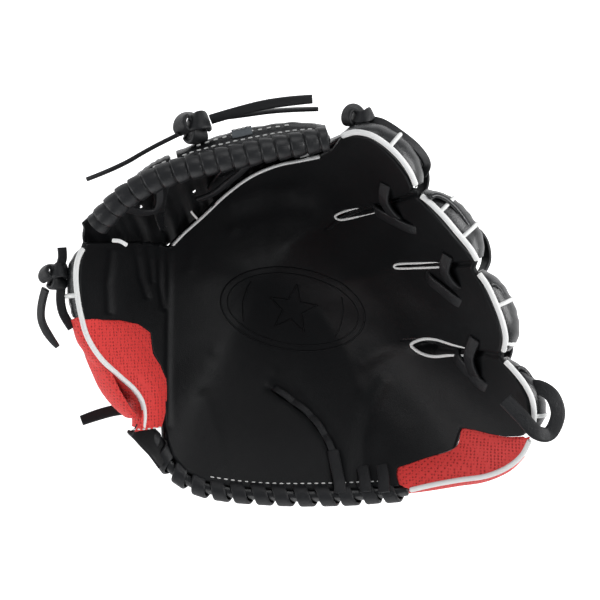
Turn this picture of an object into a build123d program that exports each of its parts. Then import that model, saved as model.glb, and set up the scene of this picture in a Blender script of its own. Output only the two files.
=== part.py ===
from build123d import *
import math
import os
import time
import numpy as np

os.makedirs("parts", exist_ok=True)

# ---- driving sizes, mm -------------------------------------------------------------
LEATHER = 2.6          # palm and stall leather
GAP = 0.6              # clearance between layers
PIPE_R = 1.9           # white welting radius
LACE_R = 1.7           # round equivalent of the rawhide lace
RAIL_R = 6.2           # wrapped web rail, outside
RAIL_CORE_R = 4.0
TIP_DEPTH = 17.0       # finger stall depth at the tip
BASE_DEPTH = 25.0      # finger stall depth at the knuckle
BACK_T = 2.4           # stall back leather
LINER_T = 1.0
POCKET_X, POCKET_Y, POCKET_Z = -19.0, 8.0, 14.0
# rim of the open glove: x, y, z at the finger tips, web rail, thumb and heel
RIM = [(53, 56, 118), (40, 71, 120), (20, 79, 118), (-17, 73, 119), (-52, 65, 120), (-85, 52, 116),
       (-104, 32, 110), (-110, 5, 104), (-98, -28, 88), (-79, -52, 68), (-72, -78, 56), (-45, -96, 50),
       (0, -99, 50), (45, -97, 50), (88, -88, 62), (113, -70, 86), (116, -50, 93), (98, -27, 102),
       (98, -8, 106), (84, 17, 108), (70, 35, 112), (54, 50, 115)]

# ---- the pocket surface ------------------------------------------------------------
_th = np.array([math.atan2(y - POCKET_Y, x - POCKET_X) % (2 * math.pi) for x, y, z in RIM])
_ra = np.array([math.hypot(x - POCKET_X, y - POCKET_Y) for x, y, z in RIM])
_he = np.array([float(z) for x, y, z in RIM])
_order = np.argsort(_th)
_T = np.arange(720) * 2 * math.pi / 720


def _smooth(values):
    raw = np.interp(_T, _th[_order], values[_order], period=2 * math.pi)
    k = np.exp(-0.5 * (np.arange(-60, 61) / 12.0) ** 2)
    return np.convolve(np.concatenate([raw[-60:], raw, raw[:60]]), k / k.sum(), "same")[60:-60]


_RT, _ZT = _smooth(_ra), _smooth(_he)


def height(x, y):
    th = math.atan2(y - POCKET_Y, x - POCKET_X) % (2 * math.pi)
    big_r = float(np.interp(th, _T, _RT, period=2 * math.pi))
    big_z = float(np.interp(th, _T, _ZT, period=2 * math.pi))
    t = math.hypot(x - POCKET_X, y - POCKET_Y) / big_r
    f = t * t if t <= 1.1 else 1.21 + 2.2 * (t - 1.1)
    return POCKET_Z + (big_z - POCKET_Z) * f


def normal(x, y):
    e = 1.5
    gx = (height(x + e, y) - height(x - e, y)) / (2 * e)
    gy = (height(x, y + e) - height(x, y - e)) / (2 * e)
    n = np.array([-gx, -gy, 1.0])
    return n / np.linalg.norm(n)


def lift(x, y, d=0.0):
    return np.array([x, y, height(x, y)]) - d * normal(x, y)


# ---- builders ----------------------------------------------------------------------
NODES = {}
_t0 = time.time()


def keep(name, shape):
    NODES[name] = shape
    print(f"{name:24s} {shape.volume / 1000:8.2f} cm3  {len(shape.solids())} solid  {time.time() - _t0:6.1f} s",
          flush=True)
    return shape


def V(p):
    return p if isinstance(p, Vector) else Vector(float(p[0]), float(p[1]), float(p[2]))


def tube(points, radius, bore=0.0):
    path = Spline(*[V(p) for p in points])
    face = Circle(radius) - Circle(bore) if bore else Circle(radius)
    return sweep(Plane(origin=path @ 0, z_dir=path % 0) * face, path=path)


def resample(points, n):
    p = np.array(points, float)
    s = np.concatenate([[0], np.cumsum(np.linalg.norm(np.diff(p, axis=0), axis=1))])
    # smooth natural resampling: Catmull-Rom through the given points
    out = []
    for q in np.linspace(0, s[-1], n):
        i = min(max(int(np.searchsorted(s, q, side="right")) - 1, 0), len(p) - 2)
        u = (q - s[i]) / (s[i + 1] - s[i])
        a, b = p[max(i - 1, 0)], p[i]
        c, d = p[i + 1], p[min(i + 2, len(p) - 1)]
        out.append(0.5 * (2 * b + (c - a) * u + (2 * a - 5 * b + 4 * c - d) * u ** 2
                          + (3 * b - a - 3 * c + d) * u ** 3))
    return np.array(out)


def frames(path, normals):
    """Tangent, side and outward direction at every point of a path."""
    t = np.gradient(path, axis=0)
    t /= np.linalg.norm(t, axis=1)[:, None]
    n = normals - (normals * t).sum(1)[:, None] * t
    n /= np.linalg.norm(n, axis=1)[:, None]
    return t, np.cross(t, n), n


def strip(path, normals, width, thick):
    """A flat leather strip centred on a path; width may be (start, end)."""
    path, normals = np.array(path, float), np.array(normals, float)
    t, side, n = frames(path, normals)
    w = np.interp(np.linspace(0, 1, len(path)), np.linspace(0, 1, len(np.atleast_1d(width))),
                  np.atleast_1d(width))
    wires = []
    for p, s, m, wi in zip(path, side, n, w):
        c = [p + s * wi / 2 + m * thick / 2, p - s * wi / 2 + m * thick / 2,
             p - s * wi / 2 - m * thick / 2, p + s * wi / 2 - m * thick / 2]
        wires.append(Wire.make_polygon([V(q) for q in c], close=True))
    return Solid.make_loft(wires)


def surface_strip(xy, depth, width, thick, n=9):
    """A strip lying on the pocket surface at a depth."""
    q = resample([(x, y, 0) for x, y in xy], n)
    path = [lift(x, y, depth) for x, y, _ in q]
    return strip(path, [-normal(x, y) for x, y, _ in q], width, thick)


def sheet(stations, lo, hi, d0, d1, along="x", n=9):
    """A bent sheet under the pocket surface; straight cut sides at each station."""
    wires = []
    for s, a, b in zip(stations, lo, hi):
        top, bot = [], []
        for q in np.linspace(a, b, n):
            x, y = (s, q) if along == "x" else (q, s)
            up = 1.0 / max(normal(x, y)[2], 0.34)
            top.append(V((x, y, height(x, y) - d0 * up)))
            bot.append(V((x, y, height(x, y) - d1 * up)))
        e = [Spline(*top), Line(top[-1], bot[-1]), Spline(*bot[::-1]), Line(bot[0], top[0])]
        wires.append(Wire(e))
    return Solid.make_loft(wires)


def stall(xy, half, depth, start, t, lead=4.3, n=9):
    """C-section shell behind one finger: open towards the pocket, closed at the back."""
    q = resample([(x, y, 0) for x, y in xy], n)
    base = np.array([lift(x, y, 0) for x, y, _ in q])
    tan, side, out = frames(base, np.array([-normal(x, y) for x, y, _ in q]))
    u = np.linspace(start, 1, n) if start else np.linspace(0, 1, n)
    w = np.interp(np.linspace(0, 1, n), np.linspace(0, 1, len(half)), half)
    d = np.interp(np.linspace(0, 1, n), np.linspace(0, 1, len(depth)), depth)
    wires = []
    for i in range(n):
        def arc(wi, di, flip=False):
            pts = []
            for a in np.linspace(0, math.pi, 9):
                ca, sa = math.cos(a), math.sin(a)
                lam = wi * math.copysign(abs(ca) ** 0.8, ca)
                dep = lead - lam * lam / 170.0 + (di - lead) * sa ** 0.8
                pts.append(V(base[i] + side[i] * lam + out[i] * dep))
            return pts[::-1] if flip else pts
        o, r = arc(w[i], d[i]), arc(w[i] - t, d[i] - t, True)
        wires.append(Wire([Spline(*o), Line(o[-1], r[0]), Spline(*r), Line(r[-1], o[0])]))
    return Solid.make_loft(wires)


# ---- palm leather: one piece from the heel to the finger tips ------------------------
PALM_X = [-67.4, -60, -50, -38, -25, -12, 0, 12, 22, 32, 41, 50, 58, 66, 74, 82, 88, 94, 99, 104, 109, 112]
PALM_HI = [26, 33.5, 42, 52, 60.5, 65.5, 68, 70, 75, 75, 71, 60, 47, 40, 32, 22, 10, -3, -26, -32, -40, -48]
PALM_LO = [-70, -87, -93, -96, -97, -98, -98, -98, -97.5, -97, -96, -92, -84, -80, -77, -66, -66.5, -67.5,
           -68, -68.5, -68.5, -66]
palm = sheet(PALM_X, PALM_LO, PALM_HI, 0, LEATHER)
slits = [[(19, 44.6), (38, 49.2), (56, 54.3), (74, 57), (62, 47.2), (40, 45.2), (19, 42.2)],
         [(50, 18.2), (70, 19.2), (82, 20.5), (98, 20), (98, 12.8), (82, 13.6), (70, 17.2), (50, 16.8)],
         [(59, -23.5), (64, -20.8), (72, -20.6), (86, -24.5), (112, -25.5), (112, -31), (86, -28.2), (72, -28.8),
          (64, -27.4)]]
for s in slits:
    palm = palm - extrude(Face(Wire.make_polygon([Vector(x, y, 20) for x, y in s], close=True)), 130)
palm = palm.solids().sort_by(SortBy.VOLUME)[-1]
keep("palm_shell", palm)

# pads and lining under the palm
keep("palm_pad", sheet([-58, -40, -20, 0, 20, 40], [-80, -90, -92, -92, -91, -88],
                       [-62, -58, -56, -62, -66, -68], LEATHER + GAP, 8.0))
keep("palm_lining", sheet([-58, -46, -34, -22, -12, -2, 7], [-84, -92, -94, -94, -94, -94, -94],
                          [-24, -18, -14, -12, -16, -26, -38], 8.8, 10.0))
base = Pos(4, -10, -13.5055) * Box(92, 84, 6.611)
base = fillet(base.edges().filter_by(Axis.Z), 22)
base = fillet(base.edges().group_by(Axis.Z)[-1], 2.4)
keep("hand_back", base)

# palm emblem: a raised oval frame and a five-pointed star, plain decoration
ex, ey, ea, eb = -4.0, -5.0, 39.0, 22.0
oval = [lift(ex + ea * math.cos(a) * math.cos(-0.17) - eb * math.sin(a) * math.sin(-0.17),
             ey + ea * math.cos(a) * math.sin(-0.17) + eb * math.sin(a) * math.cos(-0.17), -0.75)
        for a in np.linspace(0.02, 2 * math.pi - 0.02, 25)]

keep("palm_emblem", tube(oval, 0.7))

# ---- finger stalls: back leather and liner ------------------------------------------
FINGERS = {
    "index": ([(-32, 20), (-18, 38), (2, 54), (21, 62), (39, 69.5)], [11, 15, 18.5, 18.5, 14]),
    "middle": ([(-8, 0), (12, 15), (34, 29), (54, 34), (71, 35.5)], [11, 14, 17.5, 18.5, 14]),
    "ring": ([(6, -22), (30, -10), (56, -4), (78, -6), (95.5, -8)], [10, 14, 17.5, 18.0, 14]),
    "pinky": ([(12, -48), (38, -49), (64, -50), (90, -50.5), (110.5, -49)], [10, 13, 16.5, 17.0, 13]),
}
DEPTHS = [BASE_DEPTH, BASE_DEPTH - 2, 21.0, TIP_DEPTH + 1, 7.0]
for name, (xy, half) in FINGERS.items():
    keep(name + "_back", stall(xy, half, DEPTHS, 0, BACK_T))
    inner = [h - BACK_T - 0.7 for h in half[:4]] + [half[4] - BACK_T - 1.2]
    keep(name + "_liner", stall([xy[i] for i in range(5)], inner, [d - BACK_T - 0.7 for d in DEPTHS], 0,
                                LINER_T, lead=4.7))

# welting round each tip: the seam between palm leather and stall back
TIPS = {
    "index": [(22, 80.5), (31, 79), (40, 74.5), (48, 67.5), (54, 60), (57, 54.5)],
    "middle": [(59, 49.5), (66, 42.5), (74, 34.5), (81, 26.5), (85.5, 19.5)],
    "ring": [(87, 13.5), (92.5, 6), (97, -3.5), (100.5, -13), (101.5, -24)],
    "pinky": [(102, -30.5), (108, -38), (113.5, -46), (116.3, -55), (115.5, -66.5)],
}
for name, xy in TIPS.items():
    keep(name + "_welting", tube([lift(x, y, 0) + np.array([0, 0, -1.5]) for x, y in xy], PIPE_R))

# thin welting round the slits between the fingers, and along the web side of the palm
for name, xy in (("slit_binding_index", [(40, 50.3), (31, 48.0), (22, 45.8), (18.3, 43.4), (22, 41.6), (31, 43.4),
                                         (41, 44.4)]),
                 ("slit_binding_middle", [(70, 20.2), (60, 19.3), (50.5, 18.9), (48.6, 17.5), (50.5, 16.1),
                                          (60, 16.2), (70, 16.3)]),
                 ("slit_binding_ring", [(84, -22.9), (72, -19.6), (64, -19.8), (58.2, -23.6), (64, -28.3),
                                        (72, -29.8), (84, -29.2)])):
    keep(name, tube([lift(x, y, -0.2) for x, y in xy], 0.9))
keep("web_seam_welting", tube([lift(x, y, 1.2) for x, y in
                               [(-66, 29.6), (-59, 36.6), (-50, 44.4), (-38, 54.4), (-25, 62.8), (-12, 67.9),
                                (0, 70.4), (9, 72.0)]], 0.9))

# ---- thumb ---------------------------------------------------------------------------
TH_Y = [-56, -50, -42, -32, -20, -8, 4, 14, 22, 27]
TH_LO = [-76.5, -78, -84.5, -94, -101.5, -105, -106.5, -107, -106.5, -104]
front = sheet(TH_Y, TH_LO, [-70.4] * 10, 0, LEATHER, along="y")
mesh_xy = [(-69.3, -58), (-69.3, -40), (-72.5, -34), (-76, -28), (-77.5, -17), (-83, -12.5), (-92, -10.2),
           (-106, -9.5), (-112, -20), (-98, -50), (-80, -70)]
cutter = extrude(Face(Wire.make_polygon([Vector(x, y, 10) for x, y in mesh_xy], close=True)), 130)
keep("thumb_mesh_front", (front & cutter).solids().sort_by(SortBy.VOLUME)[-1])
keep("thumb_front", (front - cutter).solids().sort_by(SortBy.VOLUME)[-1])
THUMB = [(-78, -54), (-85, -38), (-91, -20), (-94.5, -4), (-96, 8), (-95, 19)]
full = resample([(x, y, 0) for x, y in THUMB], 31)
low = [tuple(p[:2]) for p in full[[0, 3, 6, 9, 12]]]
high = [tuple(p[:2]) for p in full[[13, 17, 21, 26, 30]]]
keep("thumb_mesh_back", stall(low, [11, 13, 15, 16.5, 17.5], [17, 19, 20, 20, 20], 0, BACK_T))
keep("thumb_back", stall(high, [18, 18.5, 19, 18, 13], [20, 20, 20, 18, 9], 0, BACK_T))
keep("thumb_liner", stall([tuple(p[:2]) for p in full[[2, 9, 16, 23, 29]]], [9.0, 12, 14.6, 14.6, 9.5],
                          [14.5, 16.4, 16.5, 14.5, 7.0], 0, LINER_T, lead=4.7))
keep("thumb_welting", tube([lift(x, y, 0) + np.array([0, 0, -1.5]) for x, y in
                            [(-107.6, 25.2), (-109.8, 19.5), (-110.3, 12), (-109.9, 2), (-108.3, -8), (-104.5, -19),
                             (-98.5, -29), (-90.5, -38), (-83.5, -45), (-80, -52), (-79.5, -59)]], PIPE_R))

# ---- pinky side ----------------------------------------------------------------------
keep("pinky_mesh_front", sheet([53, 61, 69, 77, 84, 90, 97, 104, 110], [-95.5, -94, -91.5, -89.8, -88.5, -87.5,
                               -85.5, -81.5, -75], [-88.4, -86.2, -84, -81, -71.5, -68, -69, -70, -70.2], 0, LEATHER))
side = [(56, -98.5, 40), (68, -96.5, 44), (82, -93.5, 50), (95, -90.5, 58), (106, -84.5, 66), (112.5, -77, 72)]
keep("pinky_mesh_back", strip(resample(side, 9), [(0.1 + 0.07 * i, -1, -0.25) for i in range(9)], (14, 24, 26), 2.2))
keep("pinky_side_welting", tube([lift(x, y, 0) + np.array([0, 0, -1.2]) for x, y in
                                 [(113.6, -72.5), (109.5, -79), (103, -85), (94, -89.8), (82, -92), (68, -95.2),
                                  (57, -98.2)]], PIPE_R))

# ---- web: a wrapped rail folded at its middle, with posts, panels and lacing -----------
RAIL = [(-99, 37.2, 110), (-94, 42, 112.5), (-85, 50, 116), (-73, 57, 119), (-60, 62.3, 120.5),
        (-58.2, 63, 120.5), (-44, 66.3, 121), (-30, 69.5, 121), (-17, 72.3, 120.5), (-4, 74.8, 119.5),
        (6, 76.8, 118.5), (14, 78.3, 118)]
keep("rail_core_thumb", tube(RAIL[:5], RAIL_CORE_R))
keep("rail_wrap_thumb", tube(RAIL[:5], RAIL_R, RAIL_CORE_R + 0.3))
keep("rail_core_finger", tube(RAIL[5:], RAIL_CORE_R))
keep("rail_wrap_finger", tube(RAIL[5:], RAIL_R, RAIL_CORE_R + 0.3))
keep("web_thumb_panel", surface_strip([(-71, 34.6), (-74.5, 39), (-78, 43.4), (-81, 47)], 5.5, (4, 18, 31, 41), 2.4))
keep("web_thumb_post", surface_strip([(-69.8, 35.5), (-70.5, 43), (-69, 50), (-67.5, 54.5)], 2.5, (3.5, 7, 8), 2.4))
keep("web_finger_post", surface_strip([(-62, 38.5), (-58, 45.5), (-54, 52.5), (-50, 59.5)], 6.2, (2.5, 7, 12, 17), 2.4))
keep("web_finger_panel", surface_strip([(-44, 53), (-34, 61.5), (-22, 68.5), (-10, 73), (0, 75.5)], 3.5,
                                       (5, 12, 17, 18, 14), 2.4))
keep("web_lace_thumb", tube([lift(-88, 46.5, -1.6), lift(-80, 45.5, -2.2), lift(-74.5, 46.5, -2.4),
                             lift(-71, 50, -1.6), lift(-69.5, 53, 2.5), lift(-72, 53, 8), lift(-78, 50.5, 8.5),
                             lift(-84, 48.5, 8)], LACE_R))
keep("web_lace_finger", tube([lift(-52, 52, -1.4), lift(-44, 56.0, -2.4), lift(-36, 61, -1.8), lift(-28, 66, -1.0),
                              lift(-22, 70, 2.4), lift(-24, 71, 8.2), lift(-34, 66, 9), lift(-44, 60, 8.5)], LACE_R))
keep("web_back_thumb", strip([(-80, 63, 104.5), (-76, 65.3, 105.3), (-72, 67.3, 106), (-68, 69, 106.3),
                              (-64, 70.5, 106.5)], [(-0.4, 1, 0)] * 5, 14, 2.2))
keep("web_back_finger", strip([(-57, 73.3, 107), (-43, 76.8, 107), (-30, 79.2, 107), (-16, 81.6, 106.5),
                               (0, 84.5, 106)], [(-0.2, 1, 0)] * 5, 15, 2.2))


def knot(c, s, r, tilt=0.0):
    pts = []
    for t in np.linspace(0.35, 2 * math.pi - 0.35, 34):
        x, y = s * (math.sin(t) + 2 * math.sin(2 * t)), s * (math.cos(t) - 2 * math.cos(2 * t))
        z = -1.35 * s * math.sin(3 * t)
        y, z = y * math.cos(tilt) - z * math.sin(tilt), y * math.sin(tilt) + z * math.cos(tilt)
        pts.append(Vector(c[0] + x, c[1] + y, c[2] + z))
    return tube(pts, r)


keep("web_knot", knot((-52, 84.5, 111), 2.6, 2.0, 0.5))
keep("thumb_knot", knot((-121.5, 12, 98), 2.3, 1.9, 0.3))
keep("index_knot", knot((28.5, 88.5, 113), 2.2, 1.8, 0.9))
keep("index_lace", tube([(34, 87.5, 114), (40, 86, 116), (48, 81, 116), (57, 74, 113), (62, 67, 108),
                         (60, 61.5, 104)], LACE_R))

# ---- lacing --------------------------------------------------------------------------
for name, a, b in (("lace_index_middle", (40, 60), (49, 43)), ("lace_middle_ring", (71, 25), (79, 8)),
                   ("lace_ring_pinky", (86, -17), (91, -38))):
    mx, my = (a[0] + b[0]) / 2, (a[1] + b[1]) / 2
    ux, uy = (b[0] - a[0]) / math.hypot(b[0] - a[0], b[1] - a[1]), (b[1] - a[1]) / math.hypot(b[0] - a[0], b[1] - a[1])
    keep(name, tube([lift(a[0] + 3, a[1] - 2, -1.2), lift(mx, my, -4.0), lift(b[0], b[1], -2.0),
                     lift(b[0] + 3 * ux, b[1] + 3 * uy, 4), lift(b[0] + 2 * ux, b[1] + 2 * uy, 14),
                     lift(b[0] - 2 * ux, b[1] - 2 * uy, 22), lift(mx, my, 25), lift(a[0] + 2 * ux, a[1] + 2 * uy, 22),
                     lift(a[0] - 2 * ux, a[1] - 2 * uy, 14), lift(a[0] - 3 * ux, a[1] - 3 * uy, 4)], LACE_R))
keep("pinky_loop_lace", strip(resample([(112, -44, 90), (119, -43.5, 95), (125.5, -48, 97), (128, -57, 97.5),
                                        (124, -66, 98), (117, -65.5, 100.5), (110, -58, 99.5), (102, -49.5, 96)], 17),
                              [(0.1, 0.1, 1)] * 17, 5.5, 2.0))
keep("palm_lace", surface_strip([(-14, -47), (-4, -54), (6, -62), (14, -73), (18.5, -84), (20.5, -95)], -1.1, 4.2, 1.6))

HEEL = [(-74, -76, 49), (-66, -88, 49), (-53, -96.5, 47.5), (-38, -100, 46.5), (-20, -101.6, 46.5), (0, -102.4, 46.5),
        (25, -102, 46.5), (41, -100.8, 46.5), (51, -100, 47.5)]
keep("heel_roll", tube(HEEL, 3.2))
axis = resample(HEEL, 109)
tan = np.gradient(axis, axis=0)
tan /= np.linalg.norm(tan, axis=1)[:, None]
up = np.array([0.0, 0.0, 1.0]) - tan[:, 2:] * tan
up /= np.linalg.norm(up, axis=1)[:, None]
rgt = np.cross(tan, up)
turns = 12
wrap = [axis[i] + 5.2 * (up[i] * math.cos(2 * math.pi * turns * i / 108.0) + rgt[i] * math.sin(
    2 * math.pi * turns * i / 108.0)) for i in range(1, 108)]
helix = Spline(*[V(p) for p in wrap])
keep("heel_lace", sweep(Plane(origin=helix @ 0, z_dir=helix % 0) * Circle(1.6), path=helix, is_frenet=True))

# ---- wrist ---------------------------------------------------------------------------
STRAP = [(-72, -67, 42), (-61, -74, 17), (-36, -80, 1), (-4, -82, -4), (24, -83, -1), (46, -84, 12), (58, -88, 38)]
OUT = [(-0.85, -0.2, -0.5), (-0.6, -0.3, -0.75), (-0.3, -0.3, -0.9), (0, -0.3, -0.95), (0.3, -0.3, -0.9),
       (0.6, -0.3, -0.75), (0.85, -0.2, -0.5)]
sp, so = resample(STRAP, 15), resample(OUT, 15)
keep("wrist_strap", strip(sp, so, (20, 25, 26, 25, 18), 2.6))
keep("wrist_lining", strip(sp - 3.2 * so / np.linalg.norm(so, axis=1)[:, None], so, (18, 22, 23, 22, 16), 2.0))

# ---- free lace ends --------------------------------------------------------------------


def cord(name, pts, d):
    pts = np.array(pts, float)
    radii = []
    for a, b, c in zip(pts[:-2], pts[1:-1], pts[2:]):
        u, v = (b - a) / np.linalg.norm(b - a), (c - b) / np.linalg.norm(c - b)
        half = 0.5 * math.acos(float(np.clip(u @ v, -1, 1)))
        radii.append(0.45 * min(np.linalg.norm(b - a), np.linalg.norm(c - b)) / math.tan(half))
    line = FilletPolyline(*[V(p) for p in pts], radius=radii)
    print(name, "runs", [round(float(np.linalg.norm(b - a)), 1) for a, b in zip(pts[:-1], pts[1:])],
          "radii", [round(float(r), 1) for r in radii], "length", round(line.length, 1))
    keep(name, sweep(Plane(origin=line @ 0, z_dir=line % 0) * Circle(d / 2), path=line))


cord("web_tail_left", [(-59, 81, 112), (-72, 75, 111), (-89, 65, 108), (-105, 59.5, 104)], 5)
cord("web_tail_upper", [(-43.5, 88, 114), (-31, 91.5, 117), (-12, 96, 119), (6, 97.5, 118)], 5)
cord("web_tail_lower", [(-43.5, 89, 106), (-30, 90.8, 104.5), (-10, 94, 102), (9, 94.5, 100.5)], 5)
cord("thumb_tail", [(-126.5, 5.5, 96), (-130, -4, 93), (-128.5, -15, 90), (-121.5, -23.5, 88)], 5)
cord("wrist_tail", [(-80, -55, 33), (-90.5, -57.5, 33), (-104, -59.5, 34), (-116, -64, 36)], 6)

# ---- place on the floor, centred, and write --------------------------------------------
cords = {"web_tail_left", "web_tail_upper", "web_tail_lower", "thumb_tail", "wrist_tail"}
boxes = [s.bounding_box() for k, s in NODES.items() if k not in cords]
lo = [min(getattr(b.min, a) for b in boxes) for a in "XYZ"]
hi = [max(getattr(b.max, a) for b in boxes) for a in "XYZ"]
MOVE = (-(lo[0] + hi[0]) / 2, -(lo[1] + hi[1]) / 2, -lo[2])
print("move", [round(v, 3) for v in MOVE], "size", [round(b - a, 2) for a, b in zip(lo, hi)])
for name, shape in NODES.items():
    export_step(Location(MOVE) * shape, f"parts/{name}.step")
print(len(NODES), "nodes", round(time.time() - _t0, 1), "s")
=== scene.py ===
import math

import bpy
import numpy as np
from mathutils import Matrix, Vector


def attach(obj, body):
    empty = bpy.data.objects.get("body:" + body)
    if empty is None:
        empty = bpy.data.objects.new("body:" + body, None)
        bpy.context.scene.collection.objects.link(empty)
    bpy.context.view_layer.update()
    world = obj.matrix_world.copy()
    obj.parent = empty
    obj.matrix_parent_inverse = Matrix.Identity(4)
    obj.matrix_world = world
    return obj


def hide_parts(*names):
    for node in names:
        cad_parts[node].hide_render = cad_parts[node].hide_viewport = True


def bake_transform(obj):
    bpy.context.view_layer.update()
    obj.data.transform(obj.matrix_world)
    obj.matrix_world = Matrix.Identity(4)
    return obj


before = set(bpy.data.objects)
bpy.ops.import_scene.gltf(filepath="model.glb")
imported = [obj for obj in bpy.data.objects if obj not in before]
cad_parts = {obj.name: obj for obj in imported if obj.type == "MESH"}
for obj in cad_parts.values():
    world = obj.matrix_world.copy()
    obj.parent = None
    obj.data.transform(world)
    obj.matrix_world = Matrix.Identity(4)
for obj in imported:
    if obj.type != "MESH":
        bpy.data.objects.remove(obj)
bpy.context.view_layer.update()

scene = bpy.context.scene

# ---- camera, floor and light -----------------------------------------
# The glove lies on its back on a pale table, and the camera hangs straight above the
# open pocket. Soft white light comes from the table, all round and a little from above.
POCKET_ORIGIN = np.array([-0.581, 6.892, 16.811])     # mm, from the pocket's own axes to the row frame


def place(points):
    return (np.asarray(points, float) + POCKET_ORIGIN) * 0.001


lens = bpy.data.cameras.new("overhead_camera")
lens.sensor_fit = "HORIZONTAL"
HALF_FIELD, CAMERA_HEIGHT = 0.165, 1.0      # m seen either side of the middle, and the height above the pocket
lens.angle = 2 * math.atan(HALF_FIELD / CAMERA_HEIGHT)
camera = bpy.data.objects.new("overhead_camera", lens)
camera.location = place([0, 0, 1000 * CAMERA_HEIGHT])
camera.rotation_euler = (0, 0, 0)
scene.collection.objects.link(camera)
scene.camera = camera
scene.view_settings.view_transform = "Standard"

table = bpy.data.meshes.new("table_top")
table.from_pydata([(-3, -3, -0.0005), (3, -3, -0.0005), (3, 3, -0.0005), (-3, 3, -0.0005)], [], [(0, 1, 2, 3)])
table_top = bpy.data.objects.new("table_top", table)
scene.collection.objects.link(table_top)
glow = bpy.data.materials.new("pale_table")
glow.use_nodes = True
nt = glow.node_tree
nt.nodes.clear()
out = nt.nodes.new("ShaderNodeOutputMaterial")
add = nt.nodes.new("ShaderNodeAddShader")
emit = nt.nodes.new("ShaderNodeEmission")
emit.inputs["Color"].default_value = (1, 1, 1, 1)
seen = nt.nodes.new("ShaderNodeLightPath")
strength = nt.nodes.new("ShaderNodeMapRange")
strength.inputs["To Min"].default_value, strength.inputs["To Max"].default_value = 0.34, 1.0
nt.links.new(seen.outputs["Is Camera Ray"], strength.inputs["Value"])
nt.links.new(strength.outputs["Result"], emit.inputs["Strength"])
dif = nt.nodes.new("ShaderNodeBsdfDiffuse")
dif.inputs["Color"].default_value = (0.8, 0.8, 0.8, 1)
nt.links.new(emit.outputs[0], add.inputs[0])
nt.links.new(dif.outputs[0], add.inputs[1])
nt.links.new(add.outputs[0], out.inputs[0])
table.materials.append(glow)

world = bpy.data.worlds.new("light_tent")
scene.world = world
world.use_nodes = True
wn = world.node_tree
wn.nodes.clear()
wout = wn.nodes.new("ShaderNodeOutputWorld")
bg = wn.nodes.new("ShaderNodeBackground")
coord = wn.nodes.new("ShaderNodeTexCoord")
split = wn.nodes.new("ShaderNodeSeparateXYZ")
ramp = wn.nodes.new("ShaderNodeValToRGB")
wn.links.new(coord.outputs["Generated"], split.inputs[0])
wn.links.new(split.outputs["Z"], ramp.inputs[0])
ramp.color_ramp.elements[0].position, ramp.color_ramp.elements[0].color = 0.05, (0.42, 0.43, 0.45, 1)
ramp.color_ramp.elements[1].position, ramp.color_ramp.elements[1].color = 0.75, (0.27, 0.278, 0.295, 1)
wn.links.new(ramp.outputs[0], bg.inputs["Color"])
bg.inputs["Strength"].default_value = 1.0
wn.links.new(bg.outputs[0], wout.inputs[0])
for name, spot, size, power in (("top_panel", (0.15, 0.75, 0.75), 0.5, 1.5),
                                ("left_panel", (-0.8, -0.1, 0.45), 0.5, 2.6),
                                ("heel_panel", (0.0, -0.8, 0.35), 0.6, 1.6),
                                ("right_panel", (0.8, 0.1, 0.5), 0.5, 5.0)):
    lamp = bpy.data.lights.new(name, "AREA")
    lamp.size, lamp.energy = size, power
    lo = bpy.data.objects.new(name, lamp)
    lo.location = spot
    lo.rotation_euler = (Vector((0, 0, 0.06)) - Vector(spot)).to_track_quat("-Z", "Y").to_euler()
    scene.collection.objects.link(lo)


# ---- free lace ends --------------------------------------------------
# Flat strips of black rawhide left long at the knots. They are stiff, so they hold the
# curve they were pulled into; each is cut square or to a point at its end.
def run_length(path):
    return np.concatenate([[0], np.cumsum(np.linalg.norm(np.diff(path, axis=0), axis=1))])


def smooth_route(points, n):
    """Points along the smooth line of a route of control points."""
    curve = bpy.data.curves.new("route", "CURVE")
    curve.dimensions = "3D"
    curve.resolution_u = 24
    s = curve.splines.new("NURBS")
    s.points.add(len(points) - 1)
    for p, q in zip(s.points, points):
        p.co = (*q, 1)
    s.order_u = 3
    s.use_endpoint_u = True
    obj = bpy.data.objects.new("route", curve)
    mesh = bpy.data.meshes.new_from_object(obj)
    co = np.array([v.co for v in mesh.vertices], float)
    bpy.data.objects.remove(obj)
    bpy.data.curves.remove(curve)
    bpy.data.meshes.remove(mesh)
    d = run_length(co)
    return np.stack([np.interp(np.linspace(0, d[-1], n), d, co[:, k]) for k in range(3)], 1)


def add_mesh(name, verts, faces, material, body=None):
    me = bpy.data.meshes.new(name)
    me.from_pydata([tuple(v) for v in verts], [], [tuple(f) for f in faces])
    me.validate()
    me.polygons.foreach_set("use_smooth", [True] * len(me.polygons))
    me.materials.append(material)
    me.update()
    ob = bpy.data.objects.new(name, me)
    scene.collection.objects.link(ob)
    if body:
        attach(ob, body)
    return ob


def loft(rings):
    """Vertices and faces through closed rings of equal count, capped at both ends."""
    rings = np.asarray(rings, float)
    m, n, _ = rings.shape
    verts = rings.reshape(-1, 3)
    faces = [(i * n + j, i * n + (j + 1) % n, (i + 1) * n + (j + 1) % n, (i + 1) * n + j)
             for i in range(m - 1) for j in range(n)]
    faces += [tuple(range(n - 1, -1, -1)), tuple((m - 1) * n + j for j in range(n))]
    return verts, faces


def unit(v):
    return v / np.linalg.norm(v, axis=-1)[..., None]


def direction(path):
    t = np.gradient(path, axis=0)
    return t / np.maximum(np.linalg.norm(t, axis=1), 1e-12)[:, None]


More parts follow.
